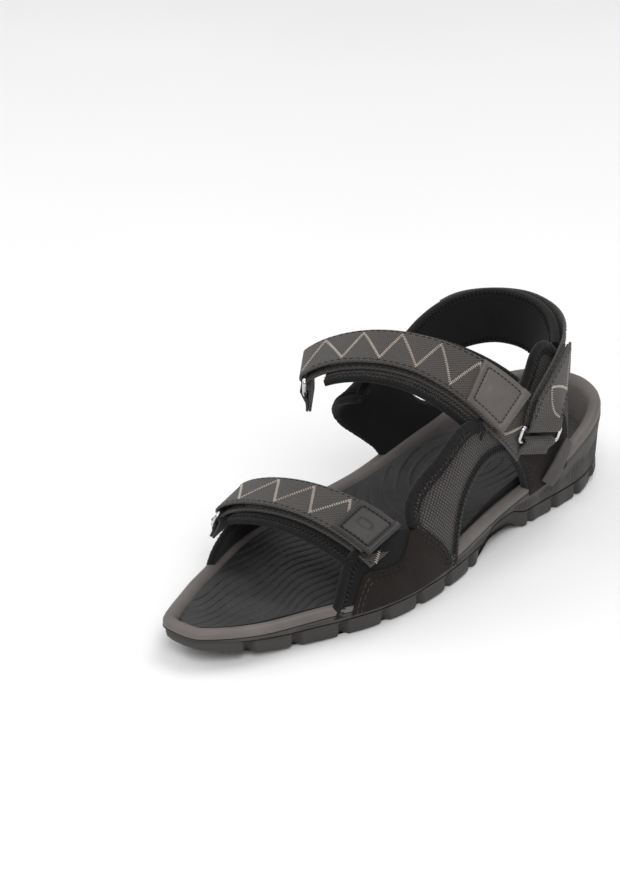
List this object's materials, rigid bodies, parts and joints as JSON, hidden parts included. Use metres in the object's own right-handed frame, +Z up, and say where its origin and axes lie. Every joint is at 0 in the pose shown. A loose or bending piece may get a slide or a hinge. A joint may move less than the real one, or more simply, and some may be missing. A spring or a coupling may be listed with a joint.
{
  "type": "sport sandal",
  "caption": "Left strappy sport sandal with a layered lugged sole, padded mesh upper, and hook-and-loop straps over the forefoot, instep and heel.",
  "frame": {"origin": "on the ground, on the flat of the outsole under the middle of the sole", "axes": "+X lateral side, -Y toe, +Y heel, +Z up"},
  "size_m": [0.0984, 0.294, 0.1049],
  "materials": {
    "outsole_rubber": "matt lugged rubber",
    "midsole_foam": "matt moulded foam",
    "rim_foam": "smooth satin rim",
    "footbed_foam": "grooved matt foam",
    "shank_plastic": "moulded",
    "mesh": "coarse woven mesh",
    "suede": "brushed",
    "lining": "smooth lining",
    "neoprene": "padded neoprene",
    "webbing": "fine twill webbing",
    "loop_tape": "loop pile",
    "hook_tape": "hook pile",
    "ring_steel": "polished wire",
    "tab_tpu": "moulded soft plastic"
  },
  "bodies": {
    "sandal": {"outsole": "outsole_rubber", "arch_shank": "shank_plastic", "midsole": "midsole_foam", "footbed_rim": "rim_foam", "footbed": "footbed_foam", "quarter_lateral": "mesh", "quarter_lateral_lining": "lining", "vamp_lateral": "neoprene", "vamp_suede_lateral": "suede", "rear_suede": "suede", "vamp_medial": "suede", "vamp_mesh_medial": "mesh", "vamp_medial_lining": "lining", "quarter_medial": "neoprene", "quarter_medial_lining": "lining", "vamp_pad": "neoprene", "instep_pad": "mesh", "heel_collar": "neoprene", "heel_collar_lining": "lining", "forefoot_ring_keeper": "webbing", "instep_ring_keeper": "webbing", "heel_ring_anchor": "webbing", "forefoot_strap_base": "webbing", "forefoot_loop_tape": "loop_tape", "forefoot_ring": "ring_steel", "instep_strap_base": "webbing", "instep_loop_tape": "loop_tape", "instep_ring": "ring_steel", "heel_strap_base": "webbing", "heel_loop_tape": "loop_tape", "heel_ring": "ring_steel"},
    "forefoot_flap": {"forefoot_strap_flap": "webbing", "forefoot_hook_tape": "hook_tape", "forefoot_pull_tab": "tab_tpu"},
    "instep_flap": {"instep_strap_flap": "webbing", "instep_hook_tape": "hook_tape", "instep_pull_tab": "tab_tpu"},
    "heel_flap": {"heel_strap_flap": "webbing", "heel_hook_tape": "hook_tape"}
  },
  "joints": [
    {"name": "forefoot_strap_open", "type": "hinge", "parent": "sandal", "child": "forefoot_flap", "pos_m": [-0.04143, -0.06905, 0.03848], "axis": [0.2093, -0.9745, -0.0815], "range_deg": [0, 110]},
    {"name": "instep_strap_open", "type": "hinge", "parent": "sandal", "child": "instep_flap", "pos_m": [-0.03925, -0.01903, 0.09005], "axis": [0.5882, -0.8073, -0.0474], "range_deg": [0, 110]},
    {"name": "heel_strap_open", "type": "hinge", "parent": "sandal", "child": "heel_flap", "pos_m": [0.04323, 0.05721, 0.05596], "axis": [0.1101, 0.9935, -0.0295], "range_deg": [0, 100]}
  ]
}
